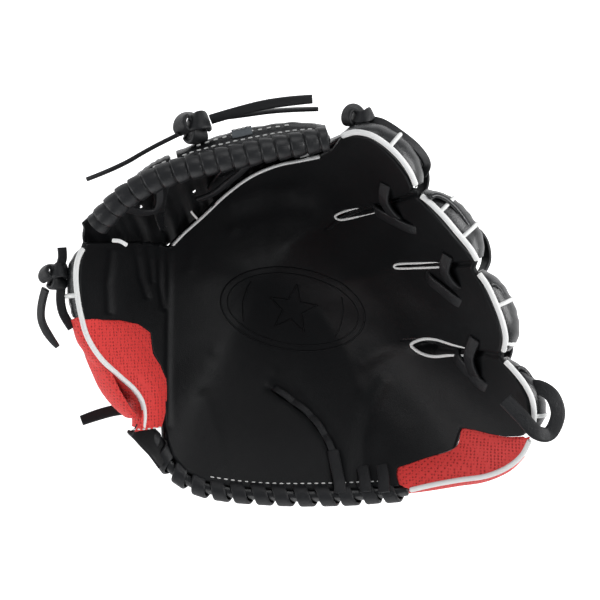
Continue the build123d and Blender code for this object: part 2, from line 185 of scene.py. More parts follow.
def lace_rings(path, flat_normal, width, thick, taper):
    """Rings of a flat lace with rounded edges. width and thick in the path's unit."""
    t = direction(path)
    nrm = np.broadcast_to(np.asarray(flat_normal, float), path.shape).copy()
    nrm -= (nrm * t).sum(1)[:, None] * t
    nrm /= np.maximum(np.linalg.norm(nrm, axis=1), 1e-9)[:, None]
    side = np.cross(t, nrm)
    u = np.linspace(0, 1, len(path))
    w = width * (1 - taper * np.clip((u - 0.72) / 0.28, 0, 1) ** 1.5)
    ang = np.linspace(0, 2 * math.pi, 17)[:-1]
    sq = lambda v, k: np.sign(v) * np.abs(v) ** k
    rings = []
    for p, s, m, wi in zip(path, side, nrm, w):
        rings.append(p + np.outer(sq(np.cos(ang), 0.55), s) * wi / 2 + np.outer(sq(np.sin(ang), 0.75), m) * thick / 2)
    return rings


def add_node(tree, kind, **values):
    """A shader node with some of its inputs set."""
    node = tree.nodes.new("ShaderNode" + kind)
    for key, value in values.items():
        node.inputs[key.replace("_", " ")].default_value = value
    return node


def grain_group():
    """Leather grain and creases: cell grain, fine pores and broad wrinkles as one normal, plus two masks."""
    g = bpy.data.node_groups.new("leather_grain", "ShaderNodeTree")
    for n, t, d in (("Cell Scale", "NodeSocketFloat", 900.0), ("Grain", "NodeSocketFloat", 0.25),
                    ("Wrinkle Scale", "NodeSocketFloat", 70.0), ("Wrinkle", "NodeSocketFloat", 0.2)):
        g.interface.new_socket(name=n, in_out="INPUT", socket_type=t).default_value = d
    g.interface.new_socket(name="Normal", in_out="OUTPUT", socket_type="NodeSocketVector")
    g.interface.new_socket(name="Mottle", in_out="OUTPUT", socket_type="NodeSocketFloat")
    g.interface.new_socket(name="Pores", in_out="OUTPUT", socket_type="NodeSocketFloat")
    i, o = g.nodes.new("NodeGroupInput"), g.nodes.new("NodeGroupOutput")
    tc = add_node(g, "TexCoord")
    vor = add_node(g, "TexVoronoi")
    vor.feature = "DISTANCE_TO_EDGE"
    fine = add_node(g, "TexNoise", Scale=1800, Detail=3)
    broad = add_node(g, "TexNoise", Detail=5, Distortion=1.2)
    mott = add_node(g, "TexNoise", Scale=26, Detail=4)
    for n in (vor, fine, broad, mott):
        g.links.new(tc.outputs["Object"], n.inputs["Vector"])
    g.links.new(i.outputs["Cell Scale"], vor.inputs["Scale"])
    g.links.new(i.outputs["Wrinkle Scale"], broad.inputs["Scale"])
    edge = add_node(g, "MapRange", From_Max=0.18)
    g.links.new(vor.outputs["Distance"], edge.inputs["Value"])
    b1, b2 = add_node(g, "Bump", Distance=0.0009), add_node(g, "Bump", Distance=0.00015)
    b3 = add_node(g, "Bump", Distance=0.00004, Strength=0.4)
    g.links.new(broad.outputs["Fac"], b1.inputs["Height"])
    g.links.new(i.outputs["Wrinkle"], b1.inputs["Strength"])
    g.links.new(edge.outputs["Result"], b2.inputs["Height"])
    g.links.new(i.outputs["Grain"], b2.inputs["Strength"])
    g.links.new(fine.outputs["Fac"], b3.inputs["Height"])
    g.links.new(b1.outputs[0], b2.inputs["Normal"])
    g.links.new(b2.outputs[0], b3.inputs["Normal"])
    g.links.new(b3.outputs[0], o.inputs["Normal"])
    g.links.new(mott.outputs["Fac"], o.inputs["Mottle"])
    g.links.new(edge.outputs["Result"], o.inputs["Pores"])
    return g


LEATHER_GRAIN = grain_group()


def leather(name, dark, light, rough, cell, grain, wrinkle_scale, wrinkle, specular=0.5, coat=0.0):
    m = bpy.data.materials.new(name)
    m.use_nodes = True
    t = m.node_tree
    b = t.nodes["Principled BSDF"]
    g = t.nodes.new("ShaderNodeGroup")
    g.node_tree = LEATHER_GRAIN
    for k, v in (("Cell Scale", cell), ("Grain", grain), ("Wrinkle Scale", wrinkle_scale), ("Wrinkle", wrinkle)):
        g.inputs[k].default_value = v
    mix = t.nodes.new("ShaderNodeMix")
    mix.data_type = "RGBA"
    mix.inputs["A"].default_value = (*dark, 1)
    mix.inputs["B"].default_value = (*light, 1)
    t.links.new(g.outputs["Mottle"], mix.inputs["Factor"])
    t.links.new(mix.outputs["Result"], b.inputs["Base Color"])
    r = add_node(t, "MapRange", To_Min=rough - 0.07, To_Max=rough + 0.07)
    t.links.new(g.outputs["Mottle"], r.inputs["Value"])
    t.links.new(r.outputs["Result"], b.inputs["Roughness"])
    t.links.new(g.outputs["Normal"], b.inputs["Normal"])
    b.inputs["Specular IOR Level"].default_value = specular
    b.inputs["Coat Weight"].default_value = coat
    b.inputs["Coat Roughness"].default_value = 0.3
    return m


RAWHIDE = leather("black_rawhide_lace", (0.007, 0.0074, 0.0082), (0.015, 0.0155, 0.0170), 0.42, 1500, 0.30,
                  300, 0.30, 0.36)


LACE_THICKNESS = 0.0022


def loose_lace(name, route, body, cad_node, width, flat_normal, taper):
    path = smooth_route(place(route), 60)
    verts, faces = loft(lace_rings(path, flat_normal, width, LACE_THICKNESS, taper))
    ob = add_mesh(name, verts, faces, RAWHIDE)
    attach(ob, body)
    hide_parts(cad_node)


loose_lace("web_knot_left_end", [(-59, 81, 112), (-72, 75, 111), (-89, 65, 108), (-105, 59.5, 104)],
           "web_finger_half", "web_tail_left", 0.005, (0.3, 1, 0.15), 0.55)
loose_lace("web_knot_upper_end", [(-43.5, 88, 114), (-31, 91.5, 117), (-12, 96, 119), (6, 97.5, 118)],
           "web_finger_half", "web_tail_upper", 0.005, (0, -0.5, 1), 0.1)
loose_lace("web_knot_lower_end", [(-43.5, 89, 106), (-30, 90.8, 104.5), (-10, 94, 102), (9, 94.5, 100.5)],
           "web_finger_half", "web_tail_lower", 0.005, (0, 1, 0.3), 0.3)
loose_lace("thumb_knot_end", [(-126.5, 5.5, 96), (-130, -4, 93), (-128.5, -15, 90), (-121.5, -23.5, 88)],
           "thumb", "thumb_tail", 0.005, (-0.6, 0, 0.8), 0.5)
loose_lace("wrist_lace_end", [(-80, -55, 33), (-90.5, -57.5, 33), (-104, -59.5, 34), (-116, -64, 36)],
           "palm", "wrist_tail", 0.006, (0, 0, 1), 0.1)


# ---- palm and thumb leather ------------------------------------------
# One hide covers the pocket, the fronts of the four finger stalls and the thumb. It is
# oiled steerhide about 2.6 mm thick, bent hard at the thumb fold and slit between fingers.
POCKET_X, POCKET_Y, POCKET_Z = -19.0, 8.0, 14.0
RIM = [(53, 56, 118), (40, 71, 120), (20, 79, 118), (-17, 73, 119), (-52, 65, 120), (-85, 52, 116),
       (-104, 32, 110), (-110, 5, 104), (-98, -28, 88), (-79, -52, 68), (-72, -78, 56), (-45, -96, 50),
       (0, -99, 50), (45, -97, 50), (88, -88, 62), (113, -70, 86), (116, -50, 93), (98, -27, 102),
       (98, -8, 106), (84, 17, 108), (70, 35, 112), (54, 50, 115)]
FULL = 2 * math.pi
rim_angle = np.array([math.atan2(y - POCKET_Y, x - POCKET_X) % FULL for x, y, z in RIM])
rim_reach = np.array([math.hypot(x - POCKET_X, y - POCKET_Y) for x, y, z in RIM])
rim_height = np.array([float(z) for x, y, z in RIM])
order = np.argsort(rim_angle)
DIAL = np.arange(720) * FULL / 720


def rim_table(values):
    raw = np.interp(DIAL, rim_angle[order], values[order], period=FULL)
    k = np.exp(-0.5 * (np.arange(-60, 61) / 12.0) ** 2)
    return np.convolve(np.concatenate([raw[-60:], raw, raw[:60]]), k / k.sum(), "same")[60:-60]


REACH, TOP = rim_table(rim_reach), rim_table(rim_height)


def pocket_height(x, y):
    x, y = np.asarray(x, float), np.asarray(y, float)
    th = np.arctan2(y - POCKET_Y, x - POCKET_X) % FULL
    r = np.interp(th, DIAL, REACH, period=FULL)
    z = np.interp(th, DIAL, TOP, period=FULL)
    t = np.hypot(x - POCKET_X, y - POCKET_Y) / r
    return POCKET_Z + (z - POCKET_Z) * np.where(t <= 1.1, t * t, 1.21 + 2.2 * (t - 1.1))


def pocket_normal(x, y):
    e = 1.5
    gx = (pocket_height(x + e, y) - pocket_height(x - e, y)) / (2 * e)
    gy = (pocket_height(x, y + e) - pocket_height(x, y - e)) / (2 * e)
    n = np.stack([-gx, -gy, np.ones_like(gx)], -1)
    return unit(n)


def on_pocket(x, y, depth=0.0):
    """Points on the pocket surface, moved out of it by depth, in mm in the pocket's own axes."""
    x, y = np.asarray(x, float), np.asarray(y, float)
    base = np.stack([x, y, pocket_height(x, y)], -1)
    return base - np.asarray(depth, float)[..., None] * pocket_normal(x, y)


def on_plan(xy, depth=0.0):
    q = np.asarray(xy, float)
    return on_pocket(q[:, 0], q[:, 1], depth)


def thicken(ob, mm, offset=-1.0):
    bpy.context.view_layer.objects.active = ob
    mod = ob.modifiers.new("thickness", "SOLIDIFY")
    mod.thickness, mod.offset = mm * 0.001, offset
    apply_all(ob)


def apply_all(ob):
    dep = bpy.context.evaluated_depsgraph_get()
    me = bpy.data.meshes.new_from_object(ob.evaluated_get(dep))
    mats = list(ob.data.materials)
    old = ob.data
    ob.modifiers.clear()
    ob.data = me
    if not me.materials:
        for m in mats:
            me.materials.append(m)
    me.polygons.foreach_set("use_smooth", [True] * len(me.polygons))
    bpy.data.meshes.remove(old)


EDGE = [(-67.6, 27), (-60, 34.5), (-50, 42.8), (-38, 52.8), (-25, 61.2), (-12, 66.3), (0, 68.8), (10, 70.5),
        (16, 73.5), (20, 78.2), (26, 79.2), (33, 77.6), (40, 73.4), (46.5, 67.3), (51.5, 60.8), (54.3, 55.3),
        (54.0, 53.0), (57.6, 49.9), (62, 45.8), (69, 38.8), (76, 30.8), (81.5, 24.3), (84.8, 19.2), (84.2, 16.8),
        (86.3, 12.8), (90.5, 6.5), (94.6, -2), (98, -11), (99.9, -19), (99.6, -25), (99.0, -27.7), (101.2, -31),
        (106, -36.6), (110.5, -43), (113.8, -50), (115, -58), (114.2, -65), (111, -68.5), (104, -69.2),
        (97, -68.3), (90, -66.8), (83.5, -66.2), (82, -70), (79.8, -76.5), (73, -79.5), (64, -82.8), (56, -86),
        (51, -87.5), (50.3, -91), (51.5, -96.5), (40, -97.2), (20, -98.3), (0, -98.8), (-20, -98.2), (-38, -96.6),
        (-50, -93.5), (-59, -88.5), (-65.5, -81), (-68.5, -72), (-69.6, -58), (-69.8, -41), (-72.5, -34), (-76, -28),
        (-77.5, -17), (-83, -12.5), (-92, -10.2), (-107.3, -9.5), (-108.8, 0), (-109, 10), (-108, 19), (-105, 27.5)]
edge_angle = np.unwrap([math.atan2(y - POCKET_Y, x - POCKET_X) for x, y in EDGE])
edge_reach = np.array([math.hypot(x - POCKET_X, y - POCKET_Y) for x, y in EDGE])
SPOKES, HOOPS = 900, 110
spoke = np.linspace(0, FULL, SPOKES, endpoint=False)
back = np.argsort(edge_angle % FULL)
spoke_reach = np.interp(spoke, (edge_angle % FULL)[back], edge_reach[back], period=FULL)
hoop = np.linspace(0.02, 1, HOOPS) ** 0.85
PX = POCKET_X + np.outer(hoop, spoke_reach * np.cos(spoke))
PY = POCKET_Y + np.outer(hoop, spoke_reach * np.sin(spoke))


def ridge(x, y, line, width):
    """1 on a polyline in plan, falling off sideways over width."""
    best = np.full(np.shape(x), 1e9)
    for (ax, ay), (bx, by) in zip(line[:-1], line[1:]):
        t = np.clip(((x - ax) * (bx - ax) + (y - ay) * (by - ay)) / ((bx - ax) ** 2 + (by - ay) ** 2), 0, 1)
        best = np.minimum(best, np.hypot(x - ax - t * (bx - ax), y - ay - t * (by - ay)))
    return np.exp(-0.5 * (best / width) ** 2)


def palm_relief(x, y):
    """How far the leather sinks (plus) or swells (minus) from the smooth pocket, in mm."""
    d = 0.7 * ridge(x, y, [(-68.6, 24), (-69.2, 0), (-69.0, -30), (-68.6, -66)], 1.1)
    for crease in ([(-84, 27), (-83, 12), (-80, 2)], [(-78, 27), (-77, 10)], [(-73, 27), (-73.4, 8), (-71.5, -4)],
                   [(-95, 24), (-98, 8), (-97, -6)]):
        d += 0.9 * ridge(x, y, crease, 1.1)
    d += 0.8 * ridge(x, y, [(-36, 50), (-20, 56), (-4, 57)], 2.4)
    d -= 0.8 * ridge(x, y, [(-30, 44), (-14, 49), (4, 49)], 3.0)
    d += 0.7 * ridge(x, y, [(12, -8), (24, -26), (30, -46)], 3.0)
    d -= 0.6 * ridge(x, y, [(-52, -52), (-46, -70), (-42, -88)], 3.0)
    for cut in ([(18.6, 43.5), (30, 45.6), (41, 47.6), (56, 51.6)], [(49.4, 17.5), (60, 17.6), (72, 17.6), (88, 17.8)],
                [(64, -24.4), (76, -25.4), (90, -26.6), (104, -28.2)]):
        d += 2.4 * ridge(x, y, cut, 0.75)
    d += 4.0 * ridge(x, y, [(61.5, -24), (67, -24.8)], 1.9)
    d += 1.3 * ridge(x, y, [(-16, -46), (-4, -53), (6, -61), (14, -72), (19, -84), (21, -99)], 2.4)
    d += 1.0 * ridge(x, y, [(44, -44), (37, -58), (33, -74), (32, -98)], 3.0)
    d += 0.9 * ridge(x, y, [(19, 43.4), (4, 36), (-6, 30)], 3.0)
    d += 0.8 * ridge(x, y, [(50, 17.5), (34, 12), (22, 9)], 3.2)
    d += 0.8 * ridge(x, y, [(59, -24), (44, -27), (33, -33)], 3.4)
    for cx, cy, rx, ry, amount in ((36, 60, 14, 10, -1.6), (64, 33, 15, 11, -1.5), (82, -5, 13, 13, -1.6),
                                   (96, -50, 14, 13, -1.8), (-6, -78, 24, 12, -1.5), (-40, -70, 16, 18, -1.2),
                                   (-92, 8, 11, 14, -1.8)):
        d += amount * np.exp(-0.5 * (((x - cx) / rx) ** 2 + ((y - cy) / ry) ** 2))
    for cx, cy in ((-34, 38), (-36, 36), (-57, 22), (-59, 16), (-14, -38), (-2, -50), (-46, -28)):
        d += 0.35 * np.exp(-0.5 * (((x - cx) ** 2 + (y - cy) ** 2) / 3.2))
    d += 0.25 * np.sin(x * 0.21 + 2.0 * np.sin(y * 0.11)) * np.exp(-((x - 60) / 40) ** 2)
    return d


palm_points = on_pocket(PX, PY, palm_relief(PX, PY)).reshape(-1, 3)
faces = [(i * SPOKES + j, (i + 1) * SPOKES + j, (i + 1) * SPOKES + (j + 1) % SPOKES, i * SPOKES + (j + 1) % SPOKES)
         for i in range(HOOPS - 1) for j in range(SPOKES)]
faces.append(tuple(range(SPOKES)))
PALM_LEATHER = leather("oiled_black_steerhide", (0.0030, 0.0033, 0.0038), (0.0060, 0.0064, 0.0072), 0.46, 1000,
                       0.22, 55, 0.20, 0.24)
palm_hide = add_mesh("palm_hide", place(palm_points), faces, PALM_LEATHER)
thicken(palm_hide, 2.4)
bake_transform(palm_hide)
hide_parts("palm_shell", "thumb_front")


# ---- red mesh side panels --------------------------------------------
# Breathable woven polyester on the lower thumb and the heel side of the little finger,
# sewn under the leather along a turned edge. The weave is a net of small open cells.
def mesh_cloth():
    m = bpy.data.materials.new("red_air_mesh")
    m.use_nodes = True
    t = m.node_tree
    b = t.nodes["Principled BSDF"]
    tc = add_node(t, "TexCoord")
    vor = add_node(t, "TexVoronoi", Scale=620, Randomness=0.25)
    fine, soft = add_node(t, "TexNoise", Scale=2600), add_node(t, "TexNoise", Scale=40)
    for n in (vor, fine, soft):
        t.links.new(tc.outputs["Object"], n.inputs["Vector"])
    hole = add_node(t, "MapRange", From_Min=0.12, From_Max=0.42)
    t.links.new(vor.outputs["Distance"], hole.inputs["Value"])
    mix = t.nodes.new("ShaderNodeMix")
    mix.data_type = "RGBA"
    mix.inputs["A"].default_value = (0.42, 0.014, 0.012, 1)
    mix.inputs["B"].default_value = (0.84, 0.045, 0.040, 1)
    t.links.new(hole.outputs["Result"], mix.inputs["Factor"])
    t.links.new(mix.outputs["Result"], b.inputs["Base Color"])
    b1 = add_node(t, "Bump", Distance=0.0006, Strength=0.7)
    b2 = add_node(t, "Bump", Distance=0.0001, Strength=0.4)
    t.links.new(hole.outputs["Result"], b1.inputs["Height"])
    t.links.new(fine.outputs["Fac"], b2.inputs["Height"])
    t.links.new(b1.outputs[0], b2.inputs["Normal"])
    t.links.new(b2.outputs[0], b.inputs["Normal"])
    r = add_node(t, "MapRange", To_Min=0.5, To_Max=0.72)
    t.links.new(soft.outputs["Fac"], r.inputs["Value"])
    t.links.new(r.outputs["Result"], b.inputs["Roughness"])
    b.inputs["Sheen Weight"].default_value = 0.06
    b.inputs["Sheen Roughness"].default_value = 0.4
    return m


RED_MESH = mesh_cloth()


def along(points, n):
    """Evenly spaced points on a soft curve through given points."""
    p = np.asarray(points, float)
    s = run_length(p)
    out_points = []
    for q in np.linspace(0, s[-1], n):
        i = min(max(int(np.searchsorted(s, q, side="right")) - 1, 0), len(p) - 2)
        u = (q - s[i]) / (s[i + 1] - s[i])
        a, b, c, d = p[max(i - 1, 0)], p[i], p[i + 1], p[min(i + 2, len(p) - 1)]
        out_points.append(0.5 * (2 * b + (c - a) * u + (2 * a - 5 * b + 4 * c - d) * u ** 2
                                 + (3 * b - a - 3 * c + d) * u ** 3))
    return np.array(out_points)


def spread(values, n):
    """A few values spaced evenly along a piece, as n values on a soft curve."""
    return along([(i, h, 0) for i, h in zip(np.linspace(0, 100, len(values)), values)], n)[:, 1]


def grid_faces(m, n):
    return [(i * n + j, (i + 1) * n + j, (i + 1) * n + j + 1, i * n + j + 1)
            for i in range(m - 1) for j in range(n - 1)]


def panel(name, outer, inner, sink, material, body, mm, crown=0.0, m=70, n=40):
    """A sewn panel between two edge lines in plan, lying sink mm under the pocket surface."""
    a, b = along(outer, m), along(inner, m)
    v = np.linspace(0, 1, n)[None, :, None]
    xy = a[:, None] * (1 - v) + b[:, None] * v
    d = sink - crown * np.sin(math.pi * v[..., 0]) * np.ones((m, 1))
    ob = add_mesh(name, place(on_pocket(xy[..., 0], xy[..., 1], d).reshape(-1, 3)), grid_faces(m, n), material)
    if ob.data.polygons[m * n // 2].normal.z < 0:
        ob.data.flip_normals()
    thicken(ob, mm)
    if body:
        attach(ob, body)
    return ob


THUMB_SEAM = [(-107.4, -9.3), (-105.0, -18), (-99, -28.4), (-91, -37.4), (-84.2, -44.6), (-80.6, -52),
              (-80.6, -60), (-83, -67)]
thumb_net = panel("thumb_mesh_panel", THUMB_SEAM,
                  [(-98, -9.9), (-88, -10.6), (-83, -12.2), (-77.3, -17), (-75.6, -28), (-72.2, -34), (-69.5, -41),
                   (-69.4, -56), (-71.5, -66)], 0.5, RED_MESH, "thumb", 1.6, 1.2)
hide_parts("thumb_mesh_front")
PINKY_SEAM = [(114.4, -69.5), (110.6, -77.5), (104, -84), (94.5, -88.9), (82, -91.6), (68, -94.8), (56.5, -98)]
pinky_net = panel("pinky_mesh_panel", PINKY_SEAM,
                  [(112, -68.6), (104, -69.3), (97, -68.4), (90, -66.9), (83.6, -66.4), (80.0, -76.6), (64, -82.9),
                   (50.8, -88), (51.5, -96)], 0.6, RED_MESH, "palm", 1.6, 0.8)
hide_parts("pinky_mesh_front")


# ---- finger stall backs ----------------------------------------------
# Each finger is a stall: the palm leather in front and a curved back of the same hide,
# closed over the tip. The two meet in a welted seam.
BACK_LEATHER = leather("black_steerhide_back", (0.0050, 0.0054, 0.0060), (0.0100, 0.0106, 0.0116), 0.27, 950, 0.26, 60,
                       0.26, 0.6, 0.12)


STALL_LEAD = 3.0      # mm from the pocket surface to the edge of a stall back


def stall_points(xy, half, depth, m, n, first=0.0, last=1.0):
    q = along(xy, 161)
    q = q[np.round(np.linspace(first, last, m) * 160).astype(int)]
    base = on_pocket(q[:, 0], q[:, 1], 0.0)
    t = direction(base)
    o = -pocket_normal(q[:, 0], q[:, 1])
    o -= (o * t).sum(1)[:, None] * t
    o = unit(o)
    s = np.cross(t, o)
    w, d = spread(half, m), spread(depth, m)
    a = np.linspace(0, math.pi, n)
    lam = w[:, None] * (np.sign(np.cos(a)) * np.abs(np.cos(a)) ** 0.8)[None]
    dep = STALL_LEAD - lam ** 2 / 170.0 + (d[:, None] - STALL_LEAD) * (np.sin(a) ** 0.8)[None]
    return base[:, None] + s[:, None] * lam[..., None] + o[:, None] * dep[..., None]


STALLS = {
    "index": ([(-32, 20), (-18, 38), (2, 54), (21, 62), (40.5, 71)], (11, 15, 18.5, 19.5, 19.5, 17.5)),
    "middle": ([(-8, 0), (12, 15), (34, 29), (54, 34), (73, 36.5)], (11, 14, 17.5, 19.0, 19.5, 17.5)),
    "ring": ([(6, -22), (30, -10), (56, -4), (78, -6), (97.0, -8)], (10, 14, 17.5, 18.8, 19.2, 17.0)),
    "pinky": ([(12, -48), (38, -49), (64, -50), (90, -50.5), (112.0, -49)], (10, 13, 16.5, 17.6, 18.5, 16.5)),
}
for finger, (line, half) in STALLS.items():
    pts = stall_points(line, half, (25, 23.6, 22, 20.5, 17.5, 9.5), 80, 40)
    ob = add_mesh(finger + "_stall_back", place(pts.reshape(-1, 3)), grid_faces(80, 40), BACK_LEATHER)
    out_side = Vector(place(pts[40, 20])) - Vector(place(on_pocket(*along(line, 80)[40][:2])))
    if ob.data.polygons[39 * 39 + 20].normal.dot(out_side) < 0:
        ob.data.flip_normals()
    thicken(ob, 2.2)
    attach(ob, "palm")
    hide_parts(finger + "_back")

THUMB_LINE = [(-78, -54), (-85, -38), (-91, -20), (-94.5, -4), (-96, 8), (-95.5, 21)]
for name, first, last, half, depth, material, node, finish in (
        ("thumb_mesh_back", 0.0, 0.43, (11, 13, 15, 16.5, 18), (15, 18, 20, 20, 20), RED_MESH, "thumb_mesh_back",
         "red_mesh"),
        ("thumb_stall_back", 0.435, 1.0, (18, 18.8, 19, 18.5, 16), (20, 20, 20, 18, 8), BACK_LEATHER, "thumb_back",
         "black_leather")):
    pts = stall_points(THUMB_LINE, half, depth, 60, 40, first=first, last=last)
    ob = add_mesh(name + "_cover", place(pts.reshape(-1, 3)), grid_faces(60, 40), material)
    if ob.data.polygons[29 * 39 + 20].normal.x > 0:
        ob.data.flip_normals()
    thicken(ob, 2.2)
    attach(ob, "thumb")
    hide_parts(node)
heel_side = along([(56, -98.5, 40), (68, -96.5, 44), (82, -93.5, 50), (95, -90.5, 58), (106, -84.5, 66),
                   (112.5, -77, 72)], 50)
u = np.linspace(0, 1, 50)[:, None]
v = np.linspace(-1, 1, 16)[None]
high = (7 + 6 * np.sqrt(u)) * v
bulge = 3.0 * (1 - v ** 2)
net = np.stack([heel_side[:, 0][:, None] + 0.4 * bulge * u, heel_side[:, 1][:, None] - bulge + 0.12 * np.abs(high),
                heel_side[:, 2][:, None] + high], -1)
pinky_back_net = add_mesh("pinky_mesh_back_cover", place(net.reshape(-1, 3)), grid_faces(50, 16), RED_MESH)
thicken(pinky_back_net, 1.8, 0.0)
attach(pinky_back_net, "palm")
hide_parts("pinky_mesh_back")


# ---- white welting ---------------------------------------------------
# A round bead of white leather rolled over a cord and caught in every seam between the
# palm and the stall backs, with short beads across each tip where the back seam ends.
WHITE_WELT = leather("white_leather_welt", (0.88, 0.88, 0.86), (0.95, 0.95, 0.93), 0.38, 1200, 0.12, 260, 0.15, 0.5)


def round_rings(path, radii, sideways, sides):
    """Rings of a round cord; sideways is a direction that the path never follows."""
    t = direction(path)
    a = unit(np.cross(t, np.array(sideways)))
    b = np.cross(t, a)
    ang = np.linspace(0, FULL, sides + 1)[:-1]
    return path[:, None] + radii[:, None, None] * (np.cos(ang)[None, :, None] * a[:, None]
                                                   + np.sin(ang)[None, :, None] * b[:, None])


def bead(name, points, radius, body, material=None, *nodes, n=160):
    path = place(along(points, n))
    rr = np.full(len(path), radius * 0.001)
    rr[:2] *= (0.35, 0.8)
    rr[-2:] *= (0.8, 0.35)
    verts, faces = loft(round_rings(path, rr, (0.13, 0.21, 0.97), 16))
    ob = add_mesh(name, verts, faces, material or WHITE_WELT, body)
    if nodes:
        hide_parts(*nodes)
    return ob


def rim_line(xy, lower=1.5):
    p = on_plan(xy)
    p[:, 2] -= lower
    return p


TIPS = {
    "index": [(20.5, 79.5), (26.5, 80.6), (33.8, 79), (41, 74.7), (47.8, 68.5), (53, 61.6), (56, 55.5)],
    "middle": [(58.8, 50.6), (63.4, 46.8), (70.4, 39.8), (77.4, 31.7), (83, 25), (86.4, 19.4)],
    "ring": [(87.8, 13), (92, 7), (96.1, -1.6), (99.6, -10.8), (101.5, -19), (101.2, -25.3)],
    "pinky": [(102.4, -30.6), (107.2, -36), (111.9, -42.4), (115.3, -49.6), (116.6, -58), (115.8, -66.5)],
}
for finger, xy in TIPS.items():
    bead(finger + "_tip_welt", rim_line(xy), 1.4, "palm", None, finger + "_welting")


def rolled_side(name, xy, bulge, drop, material, body, slot, m=90):
    """The back of a stall rolling out and down from its welt; bulge is a list spaced along it, in mm."""
    base = along(xy if np.ndim(xy) == 2 and len(xy[0]) == 3 else rim_line(xy, 2.3), m)
    r = unit(base[:, :2] - np.array([POCKET_X, POCKET_Y]))
    t = direction(base)[:, :2]
    o = np.stack([t[:, 1], -t[:, 0]], 1)
    o = unit(o * np.sign((o * r).sum(1))[:, None])
    b = spread(bulge, m)
    a = np.linspace(-0.25, 2.75, 34)
    out_by = b[:, None] * np.sin(a)[None]
    down = drop * (1 - np.cos(a))[None] / 2 * np.ones((m, 1))
    wrinkle = 0.14 * np.sin(np.arange(m)[:, None] * 0.55 + 2.2 * np.sin(a * 2)[None]) * np.sin(a)[None]
    pts = np.stack([base[:, :1] + o[:, :1] * (out_by + wrinkle), base[:, 1:2] + o[:, 1:] * (out_by + wrinkle),
                    base[:, 2:] - down], -1)
    ob = add_mesh(name, place(pts.reshape(-1, 3)), grid_faces(m, 34), material, body)
    if np.dot(ob.data.polygons[m // 2 * 33 + 10].normal[:2], o[m // 2]) < 0:
        ob.data.flip_normals()
    thicken(ob, 1.6)
    return pts


ROLLS = {"index": ((2, 5, 8, 9, 8, 5), 22), "middle": ((5, 9.5, 11.5, 11.5, 10, 5), 24),
         "ring": ((4, 8, 9.5, 9.5, 8, 4), 24), "pinky": ((3, 5, 6.5, 7.5, 7, 3), 22)}
BACK_BEADS = {"index": (0.55,), "middle": (0.3, 0.68), "ring": (0.42, 0.88), "pinky": (0.78,)}
for finger, xy in TIPS.items():
    skin_points = rolled_side(finger + "_tip_roll", xy, *ROLLS[finger], BACK_LEATHER, "palm", "black_leather")
    for k, share in enumerate(BACK_BEADS[finger]):
        row = skin_points[int(share * 89)]
        bead(f"{finger}_back_bead_{k}", row[2:24:3] + (row[2:24:3] - row[2:24:3].mean(0)) * 0.03, 1.1, "palm", n=40)
THUMB_EDGE_TIP = [(-106.4, 25.6), (-109, 19.8), (-110.2, 12), (-109.9, 2)]
THUMB_EDGE_HEEL = [(-105.6, -18.6), (-99.8, -29.2), (-91.8, -38.2), (-85, -45.4), (-81.2, -52), (-80.0, -59),
                   (-80.6, -66)]
bead("thumb_edge_welt", rim_line(THUMB_EDGE_TIP + [(-108.4, -8)] + THUMB_EDGE_HEEL), 1.35, "thumb", None,
     "thumb_welting", n=260)
upper_back = rolled_side("thumb_back_roll", THUMB_EDGE_TIP + [(-108.6, -8)],
                         (2, 5, 6, 6, 5.5), 22, BACK_LEATHER, "thumb", "black_leather")
bead("thumb_back_bead", upper_back[62][2:24:3] + (-0.6, 0, 0.3), 1.25, "thumb", n=40)
rolled_side("thumb_red_roll", [(-108.5, -8.4)] + THUMB_EDGE_HEEL, (7, 7, 6.4, 6.2, 6.6, 8, 8, 7), 24, RED_MESH,
            "thumb", "red_mesh")
bead("thumb_tip_inner_bead", [(-91.5, 29.0, 115), (-87.6, 28.6, 115.4), (-84.2, 26.6, 114)], 1.0, "thumb", n=30)
bead("pinky_side_welt", rim_line([(115.2, -70), (111.6, -78.2), (104.8, -85), (95, -90), (82.2, -92.8), (68.3, -96),
                                  (57, -99)], 1.2), 1.35, "palm", None, "pinky_side_welting")
for name, node, xy in (
        ("index_slit_bead", "slit_binding_index", [(40.5, 50.2), (31, 47.8), (22, 45.6), (18.4, 43.6), (21.6, 41.8),
                                                   (31, 43.2), (41, 45.0)]),
        ("middle_slit_bead", "slit_binding_middle", [(71, 19.4), (60, 18.9), (50.8, 18.6), (48.9, 17.5), (50.8, 16.4),
                                                     (60, 16.4), (71, 16.6)]),
        ("ring_slit_bead", "slit_binding_ring", [(86, -24.4), (78, -22.6), (70, -20.3), (63.5, -20.6), (58.6, -23.6),
                                                 (63.5, -27.8), (70, -29.4), (78, -28.4), (86, -28.4)])):
    bead(name, on_plan(xy, -0.1), 0.85 if "ring" in name else 0.6, "palm", None, node)
web_seam = [(-66.5, 28.3), (-60, 34.9), (-50, 43.2), (-38, 53.2), (-25, 61.6), (-12, 66.7), (0, 69.3), (10, 71.0)]
bead("web_seam_bead", on_plan(web_seam, 0.2), 0.8, "palm", None, "web_seam_welting")
